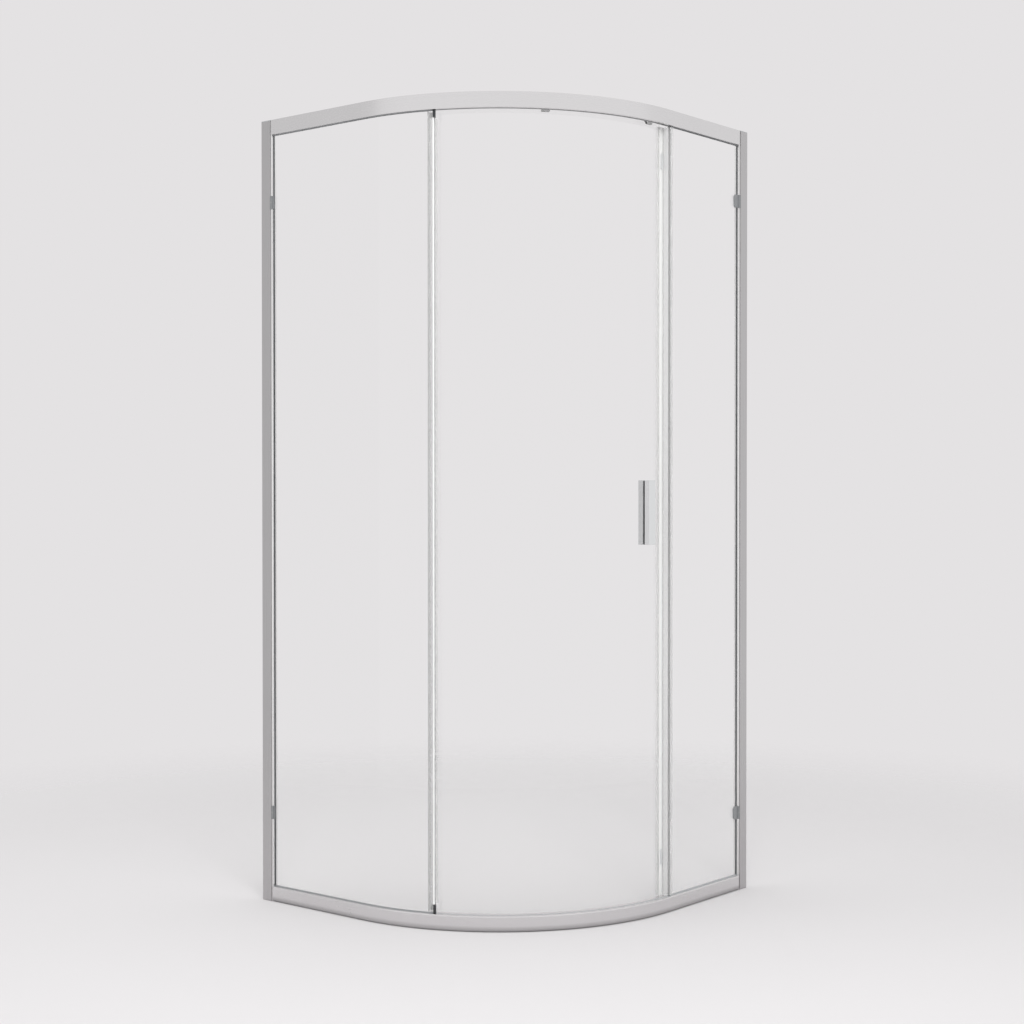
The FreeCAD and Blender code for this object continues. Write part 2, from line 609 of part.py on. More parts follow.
# Rail gaskets hold the panes in the pockets, and infill strips close the pockets along the doorway.
HOLDER_START = f"(fixed_edge - {arc_angle('holder_wide', 'pane_set')})"
for level, mouth, deep in (
    ("upper", f"({RAIL_FOOT} - gasket)", f"({POCKET_HEAD} - snug)"),
    ("lower", "(sill_high + gasket)", f"({SILL_POCKET} + snug)"),
):
    pane_edge = f"({PANE_HEAD} + snug)" if level == "upper" else f"({PANE_FOOT} - snug)"
    cheeks = [
        (f"({POCKET_OUT} + snug)", mouth), ("(pane_set - snug)", mouth), ("(pane_set - snug)", pane_edge),
        (f"({PANE_IN} + snug)", pane_edge), (f"({PANE_IN} + snug)", mouth), (f"({POCKET_IN} - snug)", mouth),
        (f"({POCKET_IN} - snug)", deep), (f"({POCKET_OUT} + snug)", deep),
    ]
    name = f"{level}_gasket_left"
    keep(name, run(name, [cheeks], left=("0", RUN_END), sweep=("0", f"{HOLDER_START} - 0.05")))
    name = f"{level}_gasket_right"
    keep(name, run(name, [cheeks], right=(PANE_END, RUN_END)))

    face = RAIL_FOOT if level == "upper" else "sill_high"
    into = "+" if level == "upper" else "-"
    leg, floor = f"({face} {into} 4 * metal)", f"({face} {into} metal)"
    channel = [
        (f"({POCKET_OUT} + snug)", face), (f"({POCKET_IN} - snug)", face), (f"({POCKET_IN} - snug)", leg),
        (f"({POCKET_IN} - gasket)", leg), (f"({POCKET_IN} - gasket)", floor),
        (f"({POCKET_OUT} + gasket)", floor),
        (f"({POCKET_OUT} + gasket)", leg), (f"({POCKET_OUT} + snug)", leg),
    ]
    name = f"{level}_infill"
    keep(name, run(name, [channel], sweep=("fixed_edge + 0.3", "90"), right=("0", f"{PANE_END} - play")))

# Glass clips: an outer plate on the post's front, stepped down onto the pane, held by a small sunk screw.
clips, screws = [], []
for hand in ("left", "right"):
    for rise in CLIP_RISES[hand]:
        reach = f"clip_reach_{hand}"
        section = [
            ("wall_deep + play", "clip_set"), ("post_face + clip_over", "clip_set"),
            ("post_face + clip_over", f"{POST_OUT} + metal"),
            (reach, f"{POST_OUT} + metal"), (reach, "pane_set - snug"),
            ("post_face + snug", "pane_set - snug"), ("post_face + snug", f"{POST_OUT} - snug"),
            ("wall_deep + play", f"{POST_OUT} - snug"),
        ]
        low, high = f"{rise} - clip_high / 2", f"{rise} + clip_high / 2"
        clip = upright(f"clip_blank_{hand}", hand, [section], low, high)
        free_end = getattr(sizes, reach) - (sizes.side - sizes.outer_radius)

        def at_free_corner(edge, hand=hand, free_end=free_end):
            """True for the short level edges at the clip's free end."""
            middle = edge.CenterOfMass
            along = middle.x if hand == "left" else -middle.y
            return edge.Length < sizes.pane_set and abs(along - free_end) < 0.01 and edge.BoundBox.ZLength < 0.01

        soften(clip, "Chamfer", "Size", f"clip_corner_{hand}", at_free_corner)
        holes = [
            end_bore(hand, False, "clip_screw_radius + 0.1", "0", POCKET_OUT, CLIP_SCREW_REACH, rise),
            end_bore(hand, False, "clip_screw_radius * 1.6 + 0.1", "0", "clip_set + 1", CLIP_SCREW_REACH, rise),
        ]
        clips.append(cut(f"clip_{hand}", clip, holes))
        along = {"left": front, "right": radial}[hand]
        face, seat, tip = along("clip_set + snug"), along("clip_set + 1 - snug"), along(f"{POCKET_OUT} - play")
        head = [
            ("0", face), ("clip_screw_radius * 1.6", face), ("clip_screw_radius * 1.6", seat),
            ("clip_screw_radius", seat), ("clip_screw_radius", tip), ("0", tip),
        ]
        spot = end_place(hand, CLIP_SCREW_REACH, "0")
        at = (spot[0], "0", rise) if hand == "left" else ("0", spot[1], rise)
        screw = turned(f"clip_screw_{hand}", "y" if hand == "left" else "x", head)
        screws.append(place(screw, at, home=False))
keep("glass_clips", combine("Compound", "glass_clips", clips))
keep("clip_screws", combine("Compound", "clip_screws", screws))

# Pane holders: small shoes that grip the bent pane's free corner just above the bottom rail and below the
# head rail, and the clear seal between them, whose fin reaches in to the door's glass.
HOLDER_END = f"(fixed_edge + {arc_angle('sheath', 'pane_set')})"
SHOE_FOOT = "(sill_high + snug)"
SHOE_HEAD = f"({RAIL_FOOT} - snug)"
HOLDERS = {
    "lower": (SHOE_FOOT, "(sill_high + holder_low)"),
    "upper": (f"({RAIL_FOOT} - holder_high)", SHOE_HEAD),
}
for level, rises in HOLDERS.items():
    name = f"glass_holder_{level}"
    block = band(f"{name}_blank", (POCKET_OUT, POCKET_IN), rises, (HOLDER_START, HOLDER_END))
    slot = band(
        f"{name}_slot", ("(pane_set - snug)", f"({PANE_IN} + snug)"),
        (f"{rises[0]} - 1", f"{rises[1]} + 1"), (f"{HOLDER_START} - 1", "fixed_edge + 0.01"),
    )
    keep(name, cut(name, block, [slot]))


def edge_grip(name, inset, far_inset, rises, edge, sense):
    """The cheeks and web of a seal that is pushed onto a pane's upright edge.

    sense is + if the web lies at a larger angle than the edge, and - if at a smaller one.
    """
    cheek_end = f"({edge} {'-' if sense == '+' else '+'} {arc_angle('seal_grip', inset)})"
    web = (f"({edge} {sense} 0.01)", f"({edge} {sense} {arc_angle('sheath', inset)})")
    inside, outside = f"({inset} - snug)", f"({far_inset} + snug)"
    spans = {
        "cheek_out": ((f"({inside} - sheath)", inside), cheek_end, web[1]),
        "cheek_in": ((outside, f"({outside} + sheath)"), cheek_end, web[1]),
        "web": ((f"({inside} - sheath)", f"({outside} + sheath)"), web[0], web[1]),
    }
    made = []
    for part_name, (insets, first, second) in spans.items():
        sweep = (first, second) if sense == "+" else (second, first)
        made.append(band(f"{name}_{part_name}", insets, rises, sweep))
    return made, web[1]


seal_rises = (f"({HOLDERS['lower'][1]} + snug)", f"({HOLDERS['upper'][0]} - snug)")
grip, tip = edge_grip("edge_seal", "pane_set", PANE_IN, seal_rises, "fixed_edge", "+")
fin = band(
    "edge_seal_fin", (f"({PANE_IN} + snug)", "(door_set - 2 * play)"), seal_rises,
    (f"({tip} - {arc_angle('sheath', 'door_set')})", tip),
)
keep("edge_seal", combine("MultiFuse", "edge_seal", grip + [fin]))

# Strike profile on the flat pane's free edge: two cheeks on the glass and a web that reaches in to the door's
# plane, with a pocket behind it for the strike's magnet strip.
GRIP_END = f"({PANE_END} + seal_grip)"
WEB_BACK = "(strike_set + strike_wall)"
POCKET_BACK = f"({WEB_BACK} + strike_box)"
MAGNET_OUT, MAGNET_IN = "(door_set + 0.4)", DOOR_IN
CHEEK_OUT, CHEEK_IN = "(pane_set - snug)", f"({PANE_IN} + snug)"
section = [
    ("strike_set", f"{CHEEK_OUT} - sheath"), (GRIP_END, f"{CHEEK_OUT} - sheath"), (GRIP_END, CHEEK_OUT),
    (WEB_BACK, CHEEK_OUT), (WEB_BACK, CHEEK_IN), (GRIP_END, CHEEK_IN), (GRIP_END, f"{CHEEK_IN} + sheath"),
    (WEB_BACK, f"{CHEEK_IN} + sheath"), (WEB_BACK, f"{MAGNET_OUT} - sheath"),
    (POCKET_BACK, f"{MAGNET_OUT} - sheath"), (POCKET_BACK, MAGNET_OUT), (WEB_BACK, MAGNET_OUT),
    (WEB_BACK, MAGNET_IN), (POCKET_BACK, MAGNET_IN), (POCKET_BACK, f"{MAGNET_IN} + sheath"),
    ("strike_set", f"{MAGNET_IN} + sheath"),
]


def right_run(corners):
    """Corners given from the arc's end along the right run, as reaches from the wall."""
    return [(f"{STRAIGHT} - ({past})", inset) for past, inset in corners]


strike_rises = ("(sill_high + gasket + snug)", f"({RAIL_FOOT} - gasket - snug)")
keep("strike_profile", upright("strike_profile", "right", [right_run(section)], *strike_rises))
section = [
    (f"{WEB_BACK} + snug", f"{MAGNET_OUT} + snug"), (f"{POCKET_BACK} - 1", f"{MAGNET_OUT} + snug"),
    (f"{POCKET_BACK} - 1", f"{MAGNET_IN} - snug"), (f"{WEB_BACK} + snug", f"{MAGNET_IN} - snug"),
]
keep("strike_magnet", upright("strike_magnet", "right", [right_run(section)], *strike_rises))

# Track stops: rubber blocks over the bead that the rollers meet when the door is fully open or closed.
section = [
    (f"{POCKET_IN} + metal + snug", f"{TRACK_TOP} + snug"), (f"{BEAD_SET} - bead_wide", f"{TRACK_TOP} + snug"),
    (f"{BEAD_SET} - bead_wide", f"{TRACK_TOP} + bead_high + snug"),
    (f"{BEAD_SET} + bead_wide", f"{TRACK_TOP} + bead_high + snug"),
    (f"{BEAD_SET} + bead_wide", f"{TRACK_TOP} + snug"), ("track_edge - snug", f"{TRACK_TOP} + snug"),
    ("track_edge - snug", f"{TRACK_TOP} + 1.5 * tread"),
    (f"{POCKET_IN} + metal + snug", f"{TRACK_TOP} + 1.5 * tread"),
]
STOP_ANGLE = arc_angle("(tread + flange + stop_gap)", BEAD_SET)
OPEN_STOP = f"(roller_left - door_travel - {STOP_ANGLE})"
CLOSED_STOP = f"(roller_right + {STOP_ANGLE})"
for name, first, second in (
    ("door_stop_open", f"({OPEN_STOP} - stop_turn)", OPEN_STOP),
    ("door_stop_closed", CLOSED_STOP, f"({CLOSED_STOP} + stop_turn)"),
):
    keep(name, run(name, [section], sweep=(first, second)))

# Door glass: one curved pane with a hole for each clamp bolt and each handle stud.
DOOR_OUT_LINE, DOOR_IN_LINE = front("door_set - 2"), front(f"{DOOR_IN} + 2")
HANDLE_STUD_RISES = [
    "handle_mid - handle_long / 2 + stud_end",
    "handle_mid + handle_long / 2 - stud_end",
]
ROLLERS = {"left": "roller_left", "right": "roller_right"}
blank = band("door_blank", ("door_set", DOOR_IN), ("door_foot", DOOR_HEAD), ("door_edge", "door_close"))
holes = [
    bore("y", "bolt_hole", DOOR_OUT_LINE, DOOR_IN_LINE, ("0", BOLT_RISE), angle)
    for angle in ROLLERS.values()
]
holes += [
    bore("y", "stud_radius + 0.5", DOOR_OUT_LINE, DOOR_IN_LINE, ("0", rise), "handle_angle")
    for rise in HANDLE_STUD_RISES
]
keep("door_glass", cut("door_glass", blank, holes))

# Trailing seal, whose fin reaches out to the fixed pane's seal.
door_rises = (SEAL_FOOT, SEAL_HEAD)
grip, tip = edge_grip("trailing_seal", "door_set", DOOR_IN, door_rises, "door_edge", "-")
fin = band(
    "trailing_seal_fin", (f"({PANE_IN} + 2 * sheath)", "(door_set - snug)"), door_rises,
    (tip, f"({tip} + {arc_angle('sheath', 'door_set')})"),
)
keep("trailing_seal", combine("MultiFuse", "trailing_seal", grip + [fin]))

# Closing seal with its hollow head, the magnet strip in that, and two small buffers on the outside.
CLOSE_TIP = f"(90 + asin((strike_set - strike_gap) / {radial('door_set')}) / 1 deg)"
grip, tip = edge_grip("closing_seal", "door_set", DOOR_IN, door_rises, "door_close", "+")
head = band("closing_seal_head", ("door_set - sheath", f"{DOOR_IN} + sheath"), door_rises, (tip, CLOSE_TIP))
wall = arc_angle("sheath", "door_set")
hollow = band(
    "closing_seal_hollow", ("door_set", DOOR_IN), (f"{SEAL_FOOT} - 1", f"{SEAL_HEAD} + 1"),
    (f"({tip} + {wall} / 2)", f"({CLOSE_TIP} - {wall})"),
)
shell = combine("MultiFuse", "closing_seal_solid", grip + [head])
keep("closing_seal", cut("closing_seal", shell, [hollow]))
magnet = band(
    "closing_magnet", ("(door_set + snug)", f"({DOOR_IN} - snug)"), door_rises,
    (f"({tip} + {wall} * 0.6)", f"({CLOSE_TIP} - {wall} * 1.1)"),
)
keep("closing_magnet", magnet)
buffers = []
for middle in ("buffer_low", "height - buffer_top"):
    rises = (f"{middle} - buffer_high / 2", f"{middle} + buffer_high / 2")
    insets = ("(door_set - 3.4 * sheath)", "(door_set - sheath - snug)")
    sweep = (f"({tip} + {wall} / 2)", f"({CLOSE_TIP} - {wall})")
    buffers.append(band("closing_buffer", insets, rises, sweep))
keep("closing_buffers", combine("Compound", "closing_buffers", buffers))

# Bottom seal under the glass, in three lengths that leave room for the guide shoes.
SHOE_HALF = arc_angle("shoe_wide / 2", CHANNEL_SET)
section = [
    ("door_set - sheath", "door_foot - 2 * sheath"), ("door_set + 2.5 * sheath", "door_foot - 2 * sheath"),
    ("door_set + 2.5 * sheath", "channel_lip + 1.2"), ("door_set + 3.5 * sheath", "channel_lip + 1.2"),
    ("door_set + 3.5 * sheath", "door_foot - 2 * sheath"), (f"{DOOR_IN} + sheath", "door_foot - 2 * sheath"),
    (f"{DOOR_IN} + sheath", "shoe_top"), (f"{DOOR_IN} + snug", "shoe_top"),
    (f"{DOOR_IN} + snug", "door_foot - snug"), ("door_set - snug", "door_foot - snug"),
    ("door_set - snug", "shoe_top"), ("door_set - sheath", "shoe_top"),
]
lengths = [
    ("(door_edge + 0.1)", f"(roller_left - {SHOE_HALF} - 0.1)"),
    (f"(roller_left + {SHOE_HALF} + 0.1)", f"(roller_right - {SHOE_HALF} - 0.1)"),
    (f"(roller_right + {SHOE_HALF} + 0.1)", "(door_close - 0.1)"),
]
strips = [run("bottom_seal_length", [section], sweep=sweep) for sweep in lengths]
keep("bottom_seal", combine("Compound", "bottom_seal", strips))

# Roller carriers: rounded plates outside the glass that hold the axle above and the clamp bolt below.
CARRIER_OUT = "(track_edge + 2 * play)"
CARRIER_BACK = "(door_set - snug)"
axles, bolts, knobs = [], [], []
for hand, angle in ROLLERS.items():
    half = "carrier_wide / 2"
    foot, head = f"({BOLT_RISE} - carrier_tail)", f"({AXLE_RISE} + carrier_head)"
    plate = new_body(f"carrier_blank_{hand}")
    corners = [(f"-{half}", foot), (half, foot), (half, head), (f"-{half}", head)]
    sketch = add_sketch(plate, "XZ_Plane", [corners], radial(CARRIER_OUT))
    add_pad(plate, sketch, f"{CARRIER_BACK} - {CARRIER_OUT}", reverse=True)
    soften(
        plate, "Fillet", "Radius", "carrier_round",
        lambda edge: edge.BoundBox.XLength < 0.01 and edge.BoundBox.ZLength < 0.01,
    )
    span = (front(f"{CARRIER_OUT} - 1"), front(f"{CARRIER_BACK} + 1"))
    holes = [
        bore("y", "axle_radius + snug", *span, ("0", AXLE_RISE)),
        bore("y", "bolt_radius + 0.1", *span, ("0", BOLT_RISE)),
    ]
    keep(f"roller_carrier_{hand}", cut(f"roller_carrier_{hand}", plate, holes), turn=angle)

    # Axle with a flat head outside the wheel.
    wheel_out, wheel_in = f"({BEAD_SET} - roller_wide / 2)", f"({BEAD_SET} + roller_wide / 2)"
    head_face, head_back = f"({wheel_out} - 3 * play)", f"({wheel_out} - play)"
    axle = [
        ("0", front(head_face)), ("axle_radius * 1.6", front(head_face)),
        ("axle_radius * 1.6", front(head_back)), ("axle_radius", front(head_back)),
        ("axle_radius", front(f"{CARRIER_BACK} - play")), ("0", front(f"{CARRIER_BACK} - play")),
    ]
    axles.append(place(turned("roller_axle", "y", axle), ("0", "0", AXLE_RISE), angle, home=False))

    # Wheel with a groove between two flanges, running on the track's bead.
    groove = "(bead_wide / 2 + 0.5)"
    rim = "(tread + flange)"
    hole = "(axle_radius + bore_gap)"
    wheel = [
        (hole, front(wheel_out)), (f"{rim} - 0.4", front(wheel_out)),
        (rim, front(f"{wheel_out} + 0.4")), (rim, front(f"{BEAD_SET} - {groove} - 0.4")),
        ("tread", front(f"{BEAD_SET} - {groove}")), ("tread", front(f"{BEAD_SET} + {groove}")),
        (rim, front(f"{BEAD_SET} + {groove} + 0.4")), (rim, front(f"{wheel_in} - 0.4")),
        (f"{rim} - 0.4", front(wheel_in)), (hole, front(wheel_in)),
    ]
    keep(f"roller_wheel_{hand}", turned(f"roller_wheel_{hand}", "y", wheel), ("0", "0", AXLE_RISE), angle)

    # Clamp cap on the shower side, with a sleeve through the glass, and the clamp bolt in it.
    seat = f"({DOOR_IN} + slip)"
    face = f"({seat} + knob_deep)"
    sink = f"({face} - 2)"
    knob = [
        ("bolt_radius + 0.1", front("door_set + snug")), ("bolt_hole - 0.2", front("door_set + snug")),
        ("bolt_hole - 0.2", front(seat)), ("knob_radius", front(seat)),
        ("knob_radius", front(f"{face} - 1")), ("knob_radius - 1", front(face)),
        ("bolt_radius * 1.8", front(face)), ("bolt_radius * 1.8", front(sink)),
        ("bolt_radius + 0.1", front(sink)),
    ]
    knobs.append(place(turned("roller_cap", "y", knob), ("0", "0", BOLT_RISE), angle, home=False))
    bolt = [
        ("0", front(f"{CARRIER_OUT} + 1")), ("bolt_radius", front(f"{CARRIER_OUT} + 1")),
        ("bolt_radius", front(f"{sink} + snug")), ("bolt_radius * 1.7", front(f"{sink} + snug")),
        ("bolt_radius * 1.7", front(f"{face} - 0.3")), ("0", front(f"{face} - 0.3")),
    ]
    bolts.append(place(turned("roller_bolt", "y", bolt), ("0", "0", BOLT_RISE), angle, home=False))
keep("roller_axles", combine("Compound", "roller_axles", axles))
keep("roller_caps", combine("Compound", "roller_caps", knobs))
keep("roller_bolts", combine("Compound", "roller_bolts", bolts))

# Guide shoes pushed onto the glass's lower edge below the rollers, their pins, and the small wheels that run
# in the bottom rail's channel.
section = [
    ("(door_set - shoe_wall)", "shoe_foot"), (f"({DOOR_IN} + shoe_wall)", "shoe_foot"),
    (f"({DOOR_IN} + shoe_wall)", "shoe_top"), (f"({DOOR_IN} + snug)", "shoe_top"),
    (f"({DOOR_IN} + snug)", "door_foot - snug"), ("(door_set - snug)", "door_foot - snug"),
    ("(door_set - snug)", "shoe_top"), ("(door_set - shoe_wall)", "shoe_top"),
]
pins = []
for hand, angle in ROLLERS.items():
    shoe = run(f"shoe_blank_{hand}", [section], sweep=(f"{angle} - {SHOE_HALF}", f"{angle} + {SHOE_HALF}"))
    line = front(CHANNEL_SET)
    hole = bore("z", "pin_radius + snug", "shoe_foot - 1", "door_foot - 2", ("0", line), angle)
    keep(f"guide_shoe_{hand}", cut(f"guide_shoe_{hand}", shoe, [hole]))
    pin = [
        ("0", "metal + play"), ("pin_radius * 1.8", "metal + play"), ("pin_radius * 1.8", "guide_foot - 0.1"),
        ("pin_radius", "guide_foot - 0.1"), ("pin_radius", "door_foot - 2.1"), ("0", "door_foot - 2.1"),
    ]
    pins.append(place(turned("guide_pin", "z", pin), ("0", line, "0"), angle, home=False))
    rim, hole, top = "(channel_wide / 2 - play)", "(pin_radius + bore_gap)", "(guide_foot + guide_high)"
    wheel = [
        (hole, "guide_foot"), (f"{rim} - 0.5", "guide_foot"), (rim, "guide_foot + 0.5"),
        (rim, f"{top} - 0.5"), (f"{rim} - 0.5", top), (hole, top),
    ]
    keep(f"guide_wheel_{hand}", turned(f"guide_wheel_{hand}", "z", wheel), ("0", line, "0"), angle)
keep("guide_pins", combine("Compound", "guide_pins", pins))

# Handles: a rectangular bar on each side of the glass, on a long flat pad, joined through the glass by studs.
def handle_block(name, inset, depth, side, end):
    """An upright block as deep as depth inwards from the inset, drawn in from the bar's sides and ends."""
    half_wide, half_long = f"(handle_wide / 2 - {side})", f"(handle_long / 2 - {end})"
    foot, head = f"handle_mid - {half_long}", f"handle_mid + {half_long}"
    corners = [(f"-{half_wide}", foot), (half_wide, foot), (half_wide, head), (f"-{half_wide}", head)]
    block = new_body(name)
    add_pad(block, add_sketch(block, "XZ_Plane", [corners], radial(inset)), depth, reverse=True)
    return block


GLASS_FACES = {"outer": CARRIER_BACK, "inner": f"({DOOR_IN} + slip)"}
pads = []
for side, face in GLASS_FACES.items():
    away = "-" if side == "outer" else "+"
    bar_back = f"({face} {away} pad_thick)"
    bar_front = f"({bar_back} {away} handle_deep)"
    bar = handle_block(f"handle_bar_{side}", bar_front if side == "outer" else bar_back, "handle_deep", "0", "0")
    soften(bar, "Fillet", "Radius", "handle_round", lambda edge: True)
    pad_start = bar_back if side == "outer" else face
    pad = handle_block(f"handle_pad_{side}", pad_start, "pad_thick", "pad_inset", "pad_short")
    bite = f"({bar_back} {away} stud_bite)"
    reach = (bite, f"({face} + 1)") if side == "outer" else (f"({face} - 1)", bite)
    holes = [
        bore("y", "stud_radius + snug", front(reach[0]), front(reach[1]), ("0", rise))
        for rise in HANDLE_STUD_RISES
    ]
    keep(f"handle_{side}", cut(f"handle_{side}", bar, holes), turn="handle_angle")
    pads.append(place(cut(f"handle_pad_{side}", pad, holes), ("0", "0", "0"), "handle_angle", home=False))
keep("handle_pads", combine("Compound", "handle_pads", pads))
STUD_ENDS = [
    f"({GLASS_FACES['outer']} - pad_thick - stud_bite + play)",
    f"({GLASS_FACES['inner']} + pad_thick + stud_bite - play)",
]
studs = []
for rise in HANDLE_STUD_RISES:
    rod = [
        ("0", front(STUD_ENDS[0])), ("stud_radius", front(STUD_ENDS[0])),
        ("stud_radius", front(STUD_ENDS[1])), ("0", front(STUD_ENDS[1])),
    ]
    studs.append(place(turned("handle_stud", "y", rod), ("0", "0", rise), "handle_angle", home=False))
keep("handle_studs", combine("Compound", "handle_studs", studs))

doc.recompute()
for item in doc.Objects:
    if {"Invalid", "Error"} & set(item.State):
        raise RuntimeError(f"{item.Label} failed")
for piece in pieces:
    if piece.Shape.isNull() or not piece.Shape.isValid() or not piece.Shape.Solids:
        raise RuntimeError(f"{piece.Label} has no sound shape")

os.makedirs("parts", exist_ok=True)
for piece in pieces:
    piece.Shape.exportStep(f"parts/{piece.Label}.step")
    print(f"{piece.Label}: {len(piece.Shape.Solids)} solid(s), {piece.Shape.Volume:.1f} mm3")
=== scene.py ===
import math

import bmesh
import bpy
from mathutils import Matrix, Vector

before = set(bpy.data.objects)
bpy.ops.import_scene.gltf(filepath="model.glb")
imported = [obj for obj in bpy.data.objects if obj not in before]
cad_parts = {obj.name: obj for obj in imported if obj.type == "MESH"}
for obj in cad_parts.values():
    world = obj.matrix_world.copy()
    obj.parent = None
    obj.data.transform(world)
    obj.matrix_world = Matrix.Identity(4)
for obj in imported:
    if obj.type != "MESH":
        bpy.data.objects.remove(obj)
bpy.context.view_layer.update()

# Camera: it stands beyond the middle of the curved front, about a metre above the floor, and looks level at
# the enclosure through a slightly long lens, shifted a little to frame it as the photograph does.
CAMERA_PLACE = (2.872, -3.413, 1.0168)  # metres, as lengths are that have no other unit beside them
CAMERA_DIP, CAMERA_BEARING = 0.7203, 38.894  # degrees
SENSOR_WIDTH, FOCAL_LENGTH = 36.0, 61.58  # millimetres
SHIFT_ACROSS, SHIFT_UP = -0.0316, 0.00475
camera_data = bpy.data.cameras.new("camera")
camera_data.sensor_width = SENSOR_WIDTH
camera_data.lens = FOCAL_LENGTH
camera_data.shift_x = SHIFT_ACROSS
camera_data.shift_y = SHIFT_UP
camera = bpy.data.objects.new("camera", camera_data)
camera.location = CAMERA_PLACE
camera.rotation_euler = (math.radians(90 - CAMERA_DIP), 0.0, math.radians(CAMERA_BEARING))
bpy.context.scene.collection.objects.link(camera)
bpy.context.scene.camera = camera
bpy.context.scene.view_settings.view_transform = "Standard"


# Studio: a plain pale room with soft light from above and from both sides. The camera and the glass see its
# backdrop. Metal mirrors its sides, of which the left one is darker and the far one slightly darker.
def colour(code):
    """A six-digit sRGB colour code as linear red, green, blue and alpha."""
    levels = [int(code[place:place + 2], 16) / 255 for place in (0, 2, 4)]
    linear = [level / 12.92 if level <= 0.04045 else ((level + 0.055) / 1.055) ** 2.4 for level in levels]
    return (*linear, 1.0)


def add_node(tree, kind, settings=None, sockets=None):
    """A new node with its settings, and each input socket set to a value or linked from another socket."""
    node = tree.nodes.new(kind)
    for name, value in (settings or {}).items():
        setattr(node, name, value)
    for name, value in (sockets or {}).items():
        if isinstance(value, bpy.types.NodeSocket):
            tree.links.new(value, node.inputs[name])
        else:
            node.inputs[name].default_value = value
    return node


BACKDROP = "E4E2E3"
FILL_LIGHT = 0.62
NEAR_TONE, LEFT_TONE = 0.96, 0.76
FAR_SHARE = 0.92
# Bearings are counted from +X towards +Y. The left side ends at a corner, and the far side fades in.
LEFT_SIDE_ENDS, FAR_SIDE_STARTS = math.radians(-123.7), math.radians(36.0)
HALF_CORNER, HALF_FADE = 0.01, 0.04  # radians
world = bpy.data.worlds.new("studio")
world.use_nodes = True
tree = world.node_tree
tree.nodes.clear()
path = add_node(tree, "ShaderNodeLightPath")
direction = add_node(tree, "ShaderNodeTexCoord")
parts = add_node(tree, "ShaderNodeSeparateXYZ", None, {0: direction.outputs["Generated"]})
bearing = add_node(tree, "ShaderNodeMath", {"operation": "ARCTAN2"}, {
    0: parts.outputs["Y"], 1: parts.outputs["X"],
})
near_side = add_node(tree, "ShaderNodeMapRange", None, {
    "Value": bearing.outputs[0],
    "From Min": LEFT_SIDE_ENDS - HALF_CORNER, "From Max": LEFT_SIDE_ENDS + HALF_CORNER,
    "To Min": LEFT_TONE, "To Max": NEAR_TONE,
})
far_side = add_node(tree, "ShaderNodeMapRange", None, {
    "Value": bearing.outputs[0],
    "From Min": FAR_SIDE_STARTS - HALF_FADE, "From Max": FAR_SIDE_STARTS + HALF_FADE,
    "To Min": 1.0, "To Max": FAR_SHARE,
})
room = add_node(tree, "ShaderNodeMath", {"operation": "MULTIPLY"}, {
    0: near_side.outputs["Result"], 1: far_side.outputs["Result"],
})
fill = add_node(tree, "ShaderNodeBackground", None, {"Color": colour("FFFFFF"), "Strength": FILL_LIGHT})
mirrored = add_node(tree, "ShaderNodeBackground", None, {
    "Color": colour("FFFFFF"), "Strength": room.outputs[0],
})
backdrop = add_node(tree, "ShaderNodeBackground", None, {"Color": colour(BACKDROP), "Strength": 1.0})
on_surfaces = add_node(tree, "ShaderNodeMixShader", None, {
    0: path.outputs["Is Glossy Ray"], 1: fill.outputs[0], 2: mirrored.outputs[0],
})
seen = add_node(tree, "ShaderNodeMath", {"operation": "MAXIMUM"}, {
    0: path.outputs["Is Camera Ray"], 1: path.outputs["Is Transmission Ray"],
})
light = add_node(tree, "ShaderNodeMixShader", None, {
    0: seen.outputs[0], 1: on_surfaces.outputs[0], 2: backdrop.outputs[0],
})
add_node(tree, "ShaderNodeOutputWorld", None, {"Surface": light.outputs[0]})
bpy.context.scene.world = world


def softbox(name, place, target, size, power):
    """A square area lamp that points at a target. Metal and glass don't show it."""
    data = bpy.data.lights.new(name, "AREA")
    data.size = size
    data.energy = power
    lamp = bpy.data.objects.new(name, data)
    lamp.location = place
    lamp.rotation_euler = (Vector(target) - Vector(place)).to_track_quat("-Z", "Y").to_euler()
    lamp.visible_glossy = lamp.visible_transmission = False
    bpy.context.scene.collection.objects.link(lamp)


softbox("softbox_overhead", place=(0.2, -0.3, 4.2), target=(0.0, 0.0, 0.0), size=3.0, power=40)
softbox("softbox_camera_side", place=(3.4, -3.2, 3.0), target=(0.0, 0.0, 1.0), size=2.2, power=110)
softbox("softbox_left", place=(-2.6, -3.0, 2.4), target=(0.0, 0.0, 1.0), size=1.8, power=14)


# Floor: a pale matt disc. It fades into the backdrop well outside the enclosure, and lies just below the
# bottom rail's foot, so that the two don't share a plane.
def new_material(name):
    """An empty node material."""
    material = bpy.data.materials.new(name)
    material.use_nodes = True
    material.node_tree.nodes.clear()
    return material


FLOOR_RADIUS, FLOOR_SIDES = 3.4, 96
FLOOR_DROP = 0.0006
FADE_START, FADE_END = 1.1, 3.0
mesh = bpy.data.meshes.new("floor")
shape = bmesh.new()
bmesh.ops.create_circle(shape, cap_ends=True, segments=FLOOR_SIDES, radius=FLOOR_RADIUS)
shape.to_mesh(mesh)
shape.free()
floor = bpy.data.objects.new("floor", mesh)
floor.location = (0.0, 0.0, -FLOOR_DROP)
bpy.context.scene.collection.objects.link(floor)
pale_floor = new_material("pale_floor")
tree = pale_floor.node_tree
place = add_node(tree, "ShaderNodeTexCoord")
reach = add_node(tree, "ShaderNodeVectorMath", {"operation": "LENGTH"}, {0: place.outputs["Object"]})
fade = add_node(tree, "ShaderNodeMapRange", {"interpolation_type": "SMOOTHSTEP"}, {
    "Value": reach.outputs["Value"], "From Min": FADE_START, "From Max": FADE_END,
})
